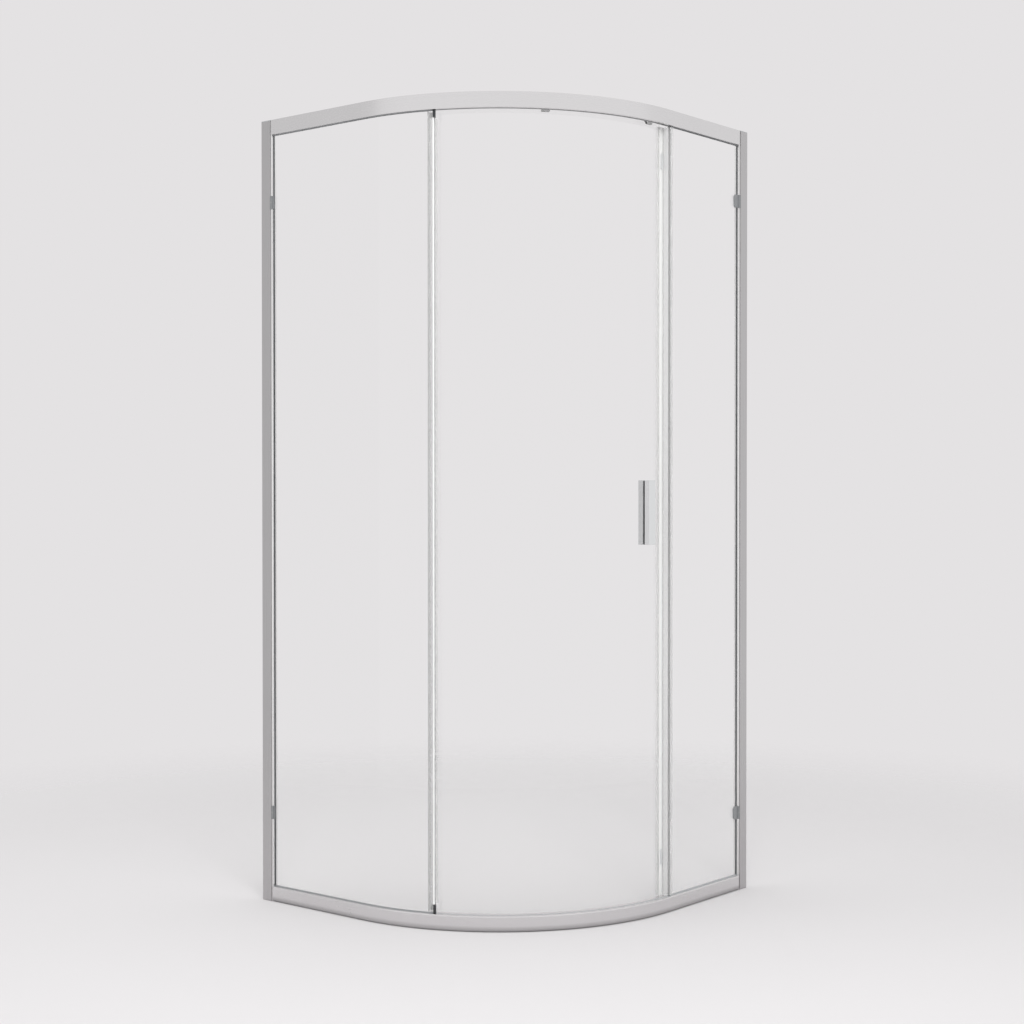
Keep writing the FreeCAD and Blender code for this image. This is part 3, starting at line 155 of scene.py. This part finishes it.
paint = add_node(tree, "ShaderNodeBsdfDiffuse", None, {"Color": colour("E7E5E6")})
clear = add_node(tree, "ShaderNodeBsdfTransparent")
surface = add_node(tree, "ShaderNodeMixShader", None, {
    0: fade.outputs["Result"], 1: paint.outputs[0], 2: clear.outputs[0],
})
add_node(tree, "ShaderNodeOutputMaterial", None, {"Surface": surface.outputs[0]})
mesh.materials.append(pale_floor)


# Wall profiles and glazing posts: aluminium extrusions, brightened and anodised silver. Each post slides in
# its profile and is held there by three screws. The die leaves very faint lines along the length, which
# soften the mirror image across them.
def finish_with(material, *nodes):
    """Gives each of these CAD nodes one material."""
    for name in nodes:
        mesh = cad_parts[name].data
        mesh.materials.clear()
        mesh.materials.append(material)


ARC_AXIS = Vector((-0.0875, 0.0875, 0.0))  # the upright axis that the curved front bends about
ALONG_THE_LINES = 0.004  # how much slower the die's lines change lengthwise
CLOUD_WIDTH = 111  # millimetres, a hand's breadth
CLOUD_TONE = 0.965  # how bright the cloudy places are beside the rest
# Height of the painted shade at the bottom rail's foot, where the floor's contact shadow falls.
FOOT_SHADE_HEIGHT = 0.014


def anodised_aluminium(name, code, roughness, line_spacing, round_front, foot_shade_tone=1.0):
    """Silver anodised extrusion. Its lines run up and down, or round the front if round_front is set.

    line_spacing is in millimetres, and coarser than the real lines, so that they show. The last argument
    paints shade over the lowest 14 mm, darkest at the floor, where the contact shadow falls.
    """
    material = new_material(name)
    tree = material.node_tree
    place = add_node(tree, "ShaderNodeTexCoord")
    if round_front:
        centred = add_node(tree, "ShaderNodeVectorMath", {"operation": "SUBTRACT"}, {
            0: place.outputs["Object"], 1: ARC_AXIS,
        })
        parts = add_node(tree, "ShaderNodeSeparateXYZ", None, {0: centred.outputs[0]})
        flat = add_node(tree, "ShaderNodeCombineXYZ", None, {
            "X": parts.outputs["X"], "Y": parts.outputs["Y"],
        })
        reach = add_node(tree, "ShaderNodeVectorMath", {"operation": "LENGTH"}, {0: flat.outputs[0]})
        across = add_node(tree, "ShaderNodeCombineXYZ", None, {
            "X": reach.outputs["Value"], "Y": parts.outputs["Z"],
        })
    else:
        across = add_node(tree, "ShaderNodeVectorMath", {"operation": "MULTIPLY"}, {
            0: place.outputs["Object"], 1: (1.0, 1.0, ALONG_THE_LINES),
        })
    lines = add_node(tree, "ShaderNodeTexNoise", None, {
        "Vector": across.outputs[0], "Scale": 1000 / line_spacing, "Detail": 3.0, "Roughness": 0.6,
    })
    smoothest, roughest = roughness - 0.04, roughness + 0.05
    gloss = add_node(tree, "ShaderNodeMapRange", None, {
        "Value": lines.outputs["Fac"], "From Min": 0.3, "From Max": 0.7,
        "To Min": smoothest, "To Max": roughest,
    })
    # The anodised film is very slightly clouded.
    film = add_node(tree, "ShaderNodeTexNoise", None, {
        "Vector": place.outputs["Object"], "Scale": 1000 / CLOUD_WIDTH, "Detail": 2.0,
    })
    base = colour(code)
    clouded = tuple(CLOUD_TONE * level for level in base[:3]) + (1.0,)
    tone = add_node(tree, "ShaderNodeMix", {"data_type": "RGBA"}, {
        0: film.outputs["Fac"], 6: clouded, 7: base,
    })
    # Painted shade: the colour darkens towards the floor, standing in for the contact shadow.
    rise = add_node(tree, "ShaderNodeSeparateXYZ", None, {0: place.outputs["Object"]})
    painted_foot_shade = add_node(tree, "ShaderNodeMapRange", None, {
        "Value": rise.outputs["Z"], "From Min": 0.0, "From Max": FOOT_SHADE_HEIGHT,
        "To Min": foot_shade_tone, "To Max": 1.0,
    })
    shaded = add_node(tree, "ShaderNodeVectorMath", {"operation": "SCALE"}, {
        0: tone.outputs[2], "Scale": painted_foot_shade.outputs["Result"],
    })
    relief = add_node(tree, "ShaderNodeBump", None, {
        "Height": lines.outputs["Fac"], "Strength": 0.05, "Distance": 0.0002,
    })
    metal = add_node(tree, "ShaderNodeBsdfPrincipled", None, {
        "Base Color": shaded.outputs[0], "Metallic": 1.0, "Roughness": gloss.outputs["Result"],
        "Normal": relief.outputs["Normal"],
    })
    add_node(tree, "ShaderNodeOutputMaterial", None, {"Surface": metal.outputs[0]})
    return material


UPRIGHT_LINES = 1.6  # millimetres
profile_aluminium = anodised_aluminium(
    "anodised_aluminium_upright", "BEBCBD", roughness=0.3, line_spacing=UPRIGHT_LINES, round_front=False,
)
finish_with(profile_aluminium, "wall_profile_left", "wall_profile_right")
# Painted highlight: the posts' silver is paler than the profiles', for the light along their front faces.
post_highlight_aluminium = anodised_aluminium(
    "anodised_aluminium_painted_highlight", "F3F2F2", roughness=0.26, line_spacing=UPRIGHT_LINES, round_front=False,
)
finish_with(post_highlight_aluminium, "post_left", "post_right")

# Head rail and bottom rail: aluminium extrusions, roll-bent and anodised silver, so that their lines run
# round the front. The bottom rail's rounded foot nearly meets the floor, and painted shade darkens it there.
RAIL_LINES = 2.0  # millimetres
head_aluminium = anodised_aluminium(
    "anodised_aluminium_rail", "DDDBDC", roughness=0.24, line_spacing=RAIL_LINES, round_front=True,
)
finish_with(head_aluminium, "upper_rail")
sill_aluminium = anodised_aluminium(
    "anodised_aluminium_sill_foot_shade", "DDDBDC", roughness=0.24, line_spacing=RAIL_LINES, round_front=True,
    foot_shade_tone=0.45,
)
finish_with(sill_aluminium, "lower_rail")


# Frame screws: stainless steel, headed and turned, bright with a fine uneven grain. They hold profiles,
# posts, rails and clips together. Connector blocks: zinc, die-cast, duller and coarser as it comes from the
# mould, pushed into the rails' ends and screwed to the posts.
def grained_metal(name, code, roughness, grain):
    """Plain metal with an uneven surface grain, its size in millimetres.

    The grain is drawn coarser than the real one, so that it shows.
    """
    material = new_material(name)
    tree = material.node_tree
    place = add_node(tree, "ShaderNodeTexCoord")
    noise = add_node(tree, "ShaderNodeTexNoise", None, {
        "Vector": place.outputs["Object"], "Scale": 1000 / grain, "Detail": 4.0,
    })
    smoothest, roughest = roughness - 0.06, roughness + 0.08
    gloss = add_node(tree, "ShaderNodeMapRange", None, {
        "Value": noise.outputs["Fac"], "To Min": smoothest, "To Max": roughest,
    })
    relief = add_node(tree, "ShaderNodeBump", None, {
        "Height": noise.outputs["Fac"], "Strength": 0.12, "Distance": 0.0001,
    })
    metal = add_node(tree, "ShaderNodeBsdfPrincipled", None, {
        "Base Color": colour(code), "Metallic": 1.0, "Roughness": gloss.outputs["Result"],
        "Normal": relief.outputs["Normal"],
    })
    add_node(tree, "ShaderNodeOutputMaterial", None, {"Surface": metal.outputs[0]})
    return material


stainless_steel = grained_metal("stainless_steel", "B9B9B8", roughness=0.28, grain=0.6)
finish_with(stainless_steel, "post_screws_left", "post_screws_right", "rail_screws", "clip_screws")
cast_zinc = grained_metal("die_cast_zinc", "A2A4A8", roughness=0.5, grain=1.5)
finish_with(
    cast_zinc, "rail_connector_upper_left", "rail_connector_upper_right", "rail_connector_lower_left",
    "rail_connector_lower_right",
)


# Caps: moulded ABS over the open tops of the profiles and posts, and moulded polyethylene over the posts'
# screws. The mould leaves a fine even grain, which gives both a soft, broad gloss.
PLASTIC_GRAIN, RUBBER_GRAIN = 0.8, 0.5  # millimetres, coarser than the real grain, so that they show
VALLEY_TONE = 0.94  # how bright the grain's low places are beside the rest


def moulded_plastic(name, code, roughness, grain):
    """Opaque plastic or rubber with a fine grain, its size in millimetres."""
    material = new_material(name)
    tree = material.node_tree
    place = add_node(tree, "ShaderNodeTexCoord")
    noise = add_node(tree, "ShaderNodeTexNoise", None, {
        "Vector": place.outputs["Object"], "Scale": 1000 / grain, "Detail": 2.0,
    })
    base = colour(code)
    valley = tuple(VALLEY_TONE * level for level in base[:3]) + (1.0,)
    tone = add_node(tree, "ShaderNodeMix", {"data_type": "RGBA"}, {
        0: noise.outputs["Fac"], 6: valley, 7: base,
    })
    relief = add_node(tree, "ShaderNodeBump", None, {
        "Height": noise.outputs["Fac"], "Strength": 0.15, "Distance": 0.0001,
    })
    plastic = add_node(tree, "ShaderNodeBsdfPrincipled", None, {
        "Base Color": tone.outputs[2], "Roughness": roughness, "IOR": 1.5, "Normal": relief.outputs["Normal"],
    })
    add_node(tree, "ShaderNodeOutputMaterial", None, {"Surface": plastic.outputs[0]})
    return material


grey_abs = moulded_plastic("moulded_abs_grey", "A9ABAD", roughness=0.38, grain=PLASTIC_GRAIN)
finish_with(grey_abs, "top_cap_left", "top_cap_right")
white_polyethylene = moulded_plastic(
    "moulded_polyethylene_white", "F1F1F0", roughness=0.35, grain=PLASTIC_GRAIN,
)
finish_with(white_polyethylene, "post_screw_caps")

# Panes: clear float glass, 6 mm thick, toughened, and bent where it follows the arc. It is nearly
# colourless through its faces, and its ground edges look darker, because the eye looks along the pane
# there. The lamps' light passes through it to what stands behind.
pane_glass = new_material("toughened_glass")
tree = pane_glass.node_tree
path = add_node(tree, "ShaderNodeLightPath")
glass = add_node(tree, "ShaderNodeBsdfPrincipled", None, {
    "Base Color": colour("FFFFFF"), "Roughness": 0.0, "IOR": 1.5, "Transmission Weight": 1.0,
})
clear = add_node(tree, "ShaderNodeBsdfTransparent", None, {"Color": colour("FBFCFB")})
surface = add_node(tree, "ShaderNodeMixShader", None, {
    0: path.outputs["Is Shadow Ray"], 1: glass.outputs[0], 2: clear.outputs[0],
})
tint = add_node(tree, "ShaderNodeVolumeAbsorption", None, {"Color": colour("C6D2CD"), "Density": 0.9})
add_node(tree, "ShaderNodeOutputMaterial", None, {"Surface": surface.outputs[0], "Volume": tint.outputs[0]})
finish_with(pane_glass, "fixed_glass_left", "fixed_glass_right", "door_glass")

# Glazing gaskets: extruded rubber, matt all over, pressed in between the panes and the profiles, and paler
# along the rails than in the posts. The right pane's upper gasket is darker as painted shade under the head
# rail, and its lower one paler as painted light. Infill strips: stiff PVC, extruded smooth and snapped into
# the rails' empty pockets along the doorway, a light grey one below, and above a darker one as painted shade.
post_rubber = moulded_plastic("extruded_rubber_grey", "77797B", roughness=0.6, grain=RUBBER_GRAIN)
finish_with(post_rubber, "post_gasket_left", "post_gasket_right")
rail_rubber = moulded_plastic("extruded_rubber_light_grey", "A6A8AA", roughness=0.6, grain=RUBBER_GRAIN)
finish_with(rail_rubber, "upper_gasket_left", "lower_gasket_left")
# Painted shade: the right pane's upper gasket is darker, for the head rail's shade.
head_rail_shade_rubber = moulded_plastic("extruded_rubber_painted_shade", "8A8C8E", roughness=0.6, grain=RUBBER_GRAIN)
finish_with(head_rail_shade_rubber, "upper_gasket_right")
# Painted light: the right pane's lower gasket is paler, standing in for a bright edge.
painted_light_rubber = moulded_plastic("extruded_rubber_painted_light", "C8CACC", roughness=0.6, grain=RUBBER_GRAIN)
finish_with(painted_light_rubber, "lower_gasket_right")
sill_pvc = moulded_plastic("extruded_pvc_grey", "B4B6B8", roughness=0.4, grain=PLASTIC_GRAIN)
finish_with(sill_pvc, "lower_infill")
# Painted shade: the upper infill strip is darker, for the head rail's shade on its underside.
head_shade_pvc = moulded_plastic("extruded_pvc_painted_shade", "5E6062", roughness=0.4, grain=PLASTIC_GRAIN)
finish_with(head_shade_pvc, "upper_infill")

# Glass clips: moulded nylon, a shade darker than the posts that they are screwed to. Pane holders: nearly
# black nylon, pushed over the bent pane's free edge. Track stops: moulded black rubber in the head rail's
# track. All of them have a fine mould grain, and only the clips shine a little.
clip_nylon = moulded_plastic("moulded_nylon_clip", "8F9193", roughness=0.42, grain=PLASTIC_GRAIN)
finish_with(clip_nylon, "glass_clips")
dark_nylon = moulded_plastic("moulded_nylon_dark", "2E3032", roughness=0.5, grain=0.6)
finish_with(dark_nylon, "glass_holder_upper", "glass_holder_lower")
stop_rubber = moulded_plastic("moulded_rubber_black", "1E1F20", roughness=0.7, grain=0.6)
finish_with(stop_rubber, "door_stop_open", "door_stop_closed")


# Clear seals and strike profile: soft PVC, extruded and pushed on to the panes' edges. Its faces are glossy
# and its body is milky, or smoky in the trailing seal. The closing seal is extruded together with a white PVC
# for its white hollow head, and the edge seal's lip is painted white as a painted highlight.
SEAL_LINES = 1.43  # millimetres from one line of the die to the next, drawn coarser so that they show
ALONG_THE_SEAL = 0.01  # how much slower they change lengthwise
CLEARNESS = 0.6  # how much of the light that it catches passes on
WHITE_PVC_AND_HIGHLIGHT = "FAFAF9"


def clear_pvc(name, code, body, white_and_highlight_arc=None):
    """Translucent extrusion that lets the lamps' light through.

    body is how much of the light it catches. Between the two angles of the last argument it is white and
    opaque: white PVC on the closing seal, and a painted highlight on the edge seal's lip. The angles are in
    degrees about the arc's axis, counted from its -Y side towards +X.
    """
    material = new_material(name)
    tree = material.node_tree
    path = add_node(tree, "ShaderNodeLightPath")
    place = add_node(tree, "ShaderNodeTexCoord")
    drawn = add_node(tree, "ShaderNodeVectorMath", {"operation": "MULTIPLY"}, {
        0: place.outputs["Object"], 1: (1.0, 1.0, ALONG_THE_SEAL),
    })
    lines = add_node(tree, "ShaderNodeTexNoise", None, {
        "Vector": drawn.outputs[0], "Scale": 1000 / SEAL_LINES,
    })
    relief = add_node(tree, "ShaderNodeBump", None, {
        "Height": lines.outputs["Fac"], "Strength": 0.1, "Distance": 0.0001,
    })
    plastic = add_node(tree, "ShaderNodeBsdfPrincipled", None, {
        "Base Color": colour(code), "Roughness": 0.2, "IOR": 1.53, "Transmission Weight": CLEARNESS,
        "Alpha": body, "Normal": relief.outputs["Normal"],
    })
    # The white band: the closing seal's white PVC head, and a painted highlight on the edge seal's lip.
    if white_and_highlight_arc:
        centred = add_node(tree, "ShaderNodeVectorMath", {"operation": "SUBTRACT"}, {
            0: place.outputs["Object"], 1: ARC_AXIS,
        })
        parts = add_node(tree, "ShaderNodeSeparateXYZ", None, {0: centred.outputs[0]})
        behind = add_node(tree, "ShaderNodeMath", {"operation": "MULTIPLY"}, {0: parts.outputs["Y"], 1: -1.0})
        angle = add_node(tree, "ShaderNodeMath", {"operation": "ARCTAN2"}, {
            0: parts.outputs["X"], 1: behind.outputs[0],
        })
        start, end = white_and_highlight_arc
        white = add_node(tree, "ShaderNodeMath", {"operation": "COMPARE"}, {
            0: angle.outputs[0], 1: math.radians((start + end) / 2), 2: math.radians((end - start) / 2),
        })
        tone = add_node(tree, "ShaderNodeMix", {"data_type": "RGBA"}, {
            0: white.outputs[0], 6: colour(code), 7: colour(WHITE_PVC_AND_HIGHLIGHT),
        })
        solid = add_node(tree, "ShaderNodeMapRange", None, {
            "Value": white.outputs[0], "To Min": body, "To Max": 1.0,
        })
        passing = add_node(tree, "ShaderNodeMapRange", None, {
            "Value": white.outputs[0], "To Min": CLEARNESS, "To Max": 0.0,
        })
        tree.links.new(tone.outputs[2], plastic.inputs["Base Color"])
        tree.links.new(solid.outputs["Result"], plastic.inputs["Alpha"])
        tree.links.new(passing.outputs["Result"], plastic.inputs["Transmission Weight"])
    clear = add_node(tree, "ShaderNodeBsdfTransparent", None, {"Color": colour("F0F0F0")})
    surface = add_node(tree, "ShaderNodeMixShader", None, {
        0: path.outputs["Is Shadow Ray"], 1: plastic.outputs[0], 2: clear.outputs[0],
    })
    add_node(tree, "ShaderNodeOutputMaterial", None, {"Surface": surface.outputs[0]})
    return material


soft_pvc = clear_pvc("extruded_pvc_clear", "F4F4F4", body=0.4)
finish_with(soft_pvc, "bottom_seal")
milky_pvc = clear_pvc("extruded_pvc_milky", "ECECEC", body=0.62)
finish_with(milky_pvc, "strike_profile")
smoky_pvc = clear_pvc("extruded_pvc_smoky", "CCCCCC", body=0.6)
finish_with(smoky_pvc, "trailing_seal")
# Painted highlight: the edge seal's white lip stands in for light caught on its rounded edge.
highlight_lip_pvc = clear_pvc("extruded_pvc_clear_painted_highlight", "F4F4F4", body=0.4, white_and_highlight_arc=(21.53, 21.85))
finish_with(highlight_lip_pvc, "edge_seal")
white_head_pvc = clear_pvc("extruded_pvc_clear_white_head", "F4F4F4", body=0.15, white_and_highlight_arc=(90.06, 92.5))
finish_with(white_head_pvc, "closing_seal")

# Closing edge: bonded ferrite strips with a smooth white coat, one inside the closing seal's head and one
# in the strike profile, and two buffers on the head, moulded in pale ABS a shade darker than it.
magnet_strip = moulded_plastic("bonded_ferrite_white_coated", "ECECEA", roughness=0.5, grain=RUBBER_GRAIN)
finish_with(magnet_strip, "closing_magnet", "strike_magnet")
pale_abs = moulded_plastic("moulded_abs_pale_grey", "DCDDDE", roughness=0.38, grain=PLASTIC_GRAIN)
finish_with(pale_abs, "closing_buffers")


# Handles: zinc castings, polished and chromed, one bar on each side of the door. Each lies on a nearly
# black nylon pad, and steel studs join them through the glass. Chrome mirrors the room almost perfectly,
# with only a trace of polishing haze. The inner bar's chrome is darker, as painted shade behind the glass.
CHROME_ROUGHNESS, HAZE_ROUGHNESS = 0.06, 0.12
HAZE_WIDTH = 8.33  # millimetres from one faint cloud of haze to the next


def polished_chrome(name, code):
    """Chrome plating with a faint polishing haze."""
    material = new_material(name)
    tree = material.node_tree
    place = add_node(tree, "ShaderNodeTexCoord")
    haze = add_node(tree, "ShaderNodeTexNoise", None, {
        "Vector": place.outputs["Object"], "Scale": 1000 / HAZE_WIDTH, "Detail": 3.0,
    })
    gloss = add_node(tree, "ShaderNodeMapRange", None, {
        "Value": haze.outputs["Fac"], "To Min": CHROME_ROUGHNESS, "To Max": HAZE_ROUGHNESS,
    })
    metal = add_node(tree, "ShaderNodeBsdfPrincipled", None, {
        "Base Color": colour(code), "Metallic": 1.0, "Roughness": gloss.outputs["Result"],
    })
    add_node(tree, "ShaderNodeOutputMaterial", None, {"Surface": metal.outputs[0]})
    return material


outer_chrome = polished_chrome("chromed_zinc", "E4E5E6")
finish_with(outer_chrome, "handle_outer")
# Painted shade: the inner bar, seen through the pane, is darker than the outer one.
shaded_inner_chrome = polished_chrome("chromed_zinc_inner_painted_shade", "D0D1D2")
finish_with(shaded_inner_chrome, "handle_inner")
finish_with(dark_nylon, "handle_pads")
finish_with(stainless_steel, "handle_studs")

# Rollers: a carrier of pale moulded ABS holds each wheel's steel axle above the door's glass, and a steel
# bolt with a cap clamps the carrier through the pane. Carriers and caps have smooth pale faces, and their
# sides, tops and bottoms, which face neither towards nor away from the arc's axis, are darkened as painted
# shade. The wheels are moulded acetal, off-white and slightly waxy.
# Painted shade: the dark colour goes on surfaces that turn across the arc, in place of their shade.
FACE_CODE, SIDE_SHADE_CODE = "E6E6E6", "3A3B3D"
SIDE_SHADE_ENDS, FACE_STARTS = 0.6, 0.8  # how squarely a surface turns to the arc's axis, from 0 to 1
pale_plates = new_material("moulded_abs_pale_painted_side_shade")
tree = pale_plates.node_tree
geometry = add_node(tree, "ShaderNodeNewGeometry")
centred = add_node(tree, "ShaderNodeVectorMath", {"operation": "SUBTRACT"}, {
    0: geometry.outputs["Position"], 1: ARC_AXIS,
})
level = add_node(tree, "ShaderNodeVectorMath", {"operation": "MULTIPLY"}, {
    0: centred.outputs[0], 1: (1.0, 1.0, 0.0),
})
outward = add_node(tree, "ShaderNodeVectorMath", {"operation": "NORMALIZE"}, {0: level.outputs[0]})
turn = add_node(tree, "ShaderNodeVectorMath", {"operation": "DOT_PRODUCT"}, {
    0: outward.outputs[0], 1: geometry.outputs["True Normal"],
})
facing = add_node(tree, "ShaderNodeMath", {"operation": "ABSOLUTE"}, {0: turn.outputs["Value"]})
face = add_node(tree, "ShaderNodeMapRange", None, {
    "Value": facing.outputs[0], "From Min": SIDE_SHADE_ENDS, "From Max": FACE_STARTS,
})
grain = add_node(tree, "ShaderNodeTexNoise", None, {
    "Vector": centred.outputs[0], "Scale": 1000 / PLASTIC_GRAIN,
})
tone = add_node(tree, "ShaderNodeMix", {"data_type": "RGBA"}, {
    0: face.outputs["Result"], 6: colour(SIDE_SHADE_CODE), 7: colour(FACE_CODE),
})
relief = add_node(tree, "ShaderNodeBump", None, {
    "Height": grain.outputs["Fac"], "Strength": 0.12, "Distance": 0.0001,
})
plastic = add_node(tree, "ShaderNodeBsdfPrincipled", None, {
    "Base Color": tone.outputs[2], "Roughness": 0.35, "IOR": 1.5, "Normal": relief.outputs["Normal"],
})
add_node(tree, "ShaderNodeOutputMaterial", None, {"Surface": plastic.outputs[0]})
finish_with(pale_plates, "roller_carrier_left", "roller_carrier_right", "roller_caps")
finish_with(stainless_steel, "roller_axles", "roller_bolts")
acetal = moulded_plastic("moulded_acetal", "E9E8E3", roughness=0.32, grain=PLASTIC_GRAIN)
finish_with(acetal, "roller_wheel_left", "roller_wheel_right")

# Guides: shoes of the same grey ABS as the top caps, pushed on to the door glass's lower edge. Each holds a
# stainless steel pin, and on it an acetal wheel that runs in the bottom rail's channel.
finish_with(grey_abs, "guide_shoe_left", "guide_shoe_right")
finish_with(stainless_steel, "guide_pins")
finish_with(acetal, "guide_wheel_left", "guide_wheel_right")
